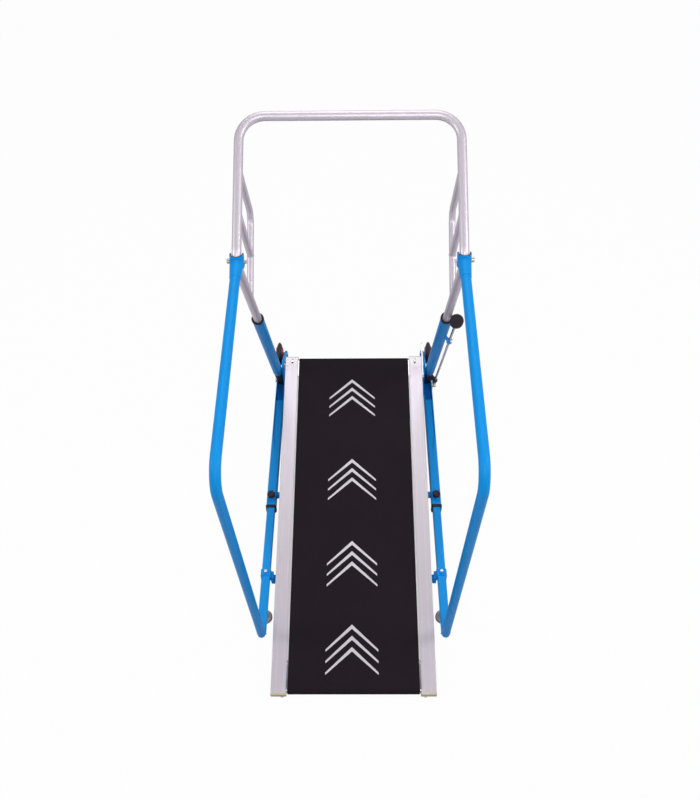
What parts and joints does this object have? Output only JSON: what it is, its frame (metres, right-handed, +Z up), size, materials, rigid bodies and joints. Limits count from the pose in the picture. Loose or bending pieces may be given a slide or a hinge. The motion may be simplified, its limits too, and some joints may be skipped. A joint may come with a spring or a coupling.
{
  "type": "pool treadmill",
  "caption": "Folding water treadmill: inclined belt deck on rollers between tubular side rails, telescoping uprights and a bent front handle.",
  "frame": {"origin": "on the floor under the middle of the machine's box, in its symmetry plane", "axes": "+X to the walker's right, +Y the way the walker faces (to the raised front end and handle), +Z up"},
  "size_m": [0.6228, 1.3077, 1.3352],
  "materials": {
    "blue_paint": "glossy blue powder coat on aluminium tube",
    "silver_tube": "satin anodised silver",
    "rail_metal": "extruded aluminium, blue lacquered top",
    "steel": "stainless steel",
    "black_plastic": "moulded black nylon",
    "beige_plastic": "moulded beige plastic",
    "roller_plastic": "white acetal tube",
    "board_plastic": "white slide board",
    "belt_rubber": "dark textured belt",
    "tyre_rubber": "grey black tyre",
    "hub_red": "red moulded hub",
    "foot_rubber": "grey rubber foot"
  },
  "bodies": {
    "base": {"lower_channel_left": "blue_paint", "lower_channel_right": "blue_paint", "front_bracket_left": "blue_paint", "front_bracket_right": "blue_paint", "base_cross_tubes": "blue_paint", "deck_pivot_bolts": "steel", "foot_pivot_bolts": "steel", "wheel_axle_bolts": "steel", "front_feet": "foot_rubber", "channel_collars": "black_plastic", "rod_catch": "steel"},
    "deck": {"rail_left": "rail_metal", "rail_right": "rail_metal", "rear_end_plugs": "beige_plastic", "front_end_plugs": "beige_plastic", "deck_screws": "steel", "deck_board": "board_plastic", "cross_members": "rail_metal", "belt": "belt_rubber", "roller_axles": "steel", "axle_plates": "steel", "catch_bar": "steel"},
    "front_roller_turning": {"front_roller": "roller_plastic", "front_roller_bearings": "steel"},
    "rear_roller_turning": {"rear_roller": "roller_plastic", "rear_roller_bearings": "steel"},
    "side_frames": {"handrail_left": "blue_paint", "handrail_right": "blue_paint", "side_tube_left": "blue_paint", "side_tube_right": "blue_paint", "fork_left": "blue_paint", "fork_right": "blue_paint", "fork_liners": "black_plastic", "fork_bolts": "steel", "rest_bar": "blue_paint", "rest_bar_clamps": "blue_paint", "clamp_screws": "steel", "rear_foot_pads": "foot_rubber", "rear_foot_studs": "steel"},
    "uprights": {"upright_sleeve_left": "blue_paint", "upright_sleeve_right": "blue_paint", "foot_blocks": "black_plastic", "sleeve_collars": "black_plastic", "rod_hook": "blue_paint", "rod_guide": "black_plastic", "rod_spring": "steel"},
    "handle": {"handle_tube": "silver_tube", "grip_struts": "silver_tube", "side_grip_left": "silver_tube", "side_grip_right": "silver_tube"},
    "lock_rod": {"lock_rod": "steel", "rod_knob": "black_plastic", "rod_nuts": "steel"},
    "wheel_left": {"wheel_tyre_left": "tyre_rubber", "wheel_hub_left": "hub_red"},
    "wheel_right": {"wheel_tyre_right": "tyre_rubber", "wheel_hub_right": "hub_red"},
    "clamp_knob_left": {"clamp_knob_left": "black_plastic"},
    "clamp_knob_right": {"clamp_knob_right": "black_plastic"}
  },
  "joints": [
    {"name": "deck_fold", "type": "hinge", "parent": "base", "child": "deck", "pos_m": [0, 0.48839, 0.20394], "axis": [-1, 0, 0], "range_deg": [0, 66]},
    {"name": "frame_slide", "type": "slide", "parent": "base", "child": "side_frames", "axis": [0, -0.9991, 0.0428], "range_m": [-0.045, 0.045]},
    {"name": "upright_tilt", "type": "hinge", "parent": "base", "child": "uprights", "pos_m": [0, 0.567, 0.029], "axis": [1, 0, 0], "range_deg": [-1.82, 1.82]},
    {"name": "handle_slide", "type": "slide", "parent": "uprights", "child": "handle", "axis": [0, -0.4664, 0.8846], "range_m": [-0.02256, 0.02256]},
    {"name": "lock_rod_pull", "type": "slide", "parent": "uprights", "child": "lock_rod", "axis": [0, -0.4664, 0.8846], "range_m": [0, 0.015], "stiffness_N_per_m": 800, "springref_m": -0.01, "deforming": ["rod_spring"]},
    {"name": "front_roller_spin", "type": "hinge", "parent": "deck", "child": "front_roller_turning", "pos_m": [0, 0.49299, 0.20674], "axis": [1, 0, 0], "continuous": true},
    {"name": "rear_roller_spin", "type": "hinge", "parent": "deck", "child": "rear_roller_turning", "pos_m": [0, -0.63138, 0.01859], "axis": [1, 0, 0], "continuous": true},
    {"name": "wheel_left_spin", "type": "hinge", "parent": "base", "child": "wheel_left", "pos_m": [-0.2785, 0.609, 0.128], "axis": [1, 0, 0], "continuous": true},
    {"name": "wheel_right_spin", "type": "hinge", "parent": "base", "child": "wheel_right", "pos_m": [0.2785, 0.609, 0.128], "axis": [1, 0, 0], "continuous": true},
    {"name": "clamp_knob_left_turn", "type": "hinge", "parent": "base", "child": "clamp_knob_left", "pos_m": [-0.2775, 0.00751, 0.05296], "axis": [0, 0.0428, 0.9991], "range_deg": [0, 360]},
    {"name": "clamp_knob_right_turn", "type": "hinge", "parent": "base", "child": "clamp_knob_right", "pos_m": [0.2775, 0.00751, 0.05296], "axis": [0, 0.0428, 0.9991], "range_deg": [0, 360]}
  ],
  "couplings": [
    {"joint": "upright_tilt", "follows": "frame_slide", "rad_per_m": 0.69975},
    {"joint": "handle_slide", "follows": "frame_slide", "ratio": 0.49682},
    {"joint": "rear_roller_spin", "follows": "front_roller_spin", "ratio": 1}
  ]
}
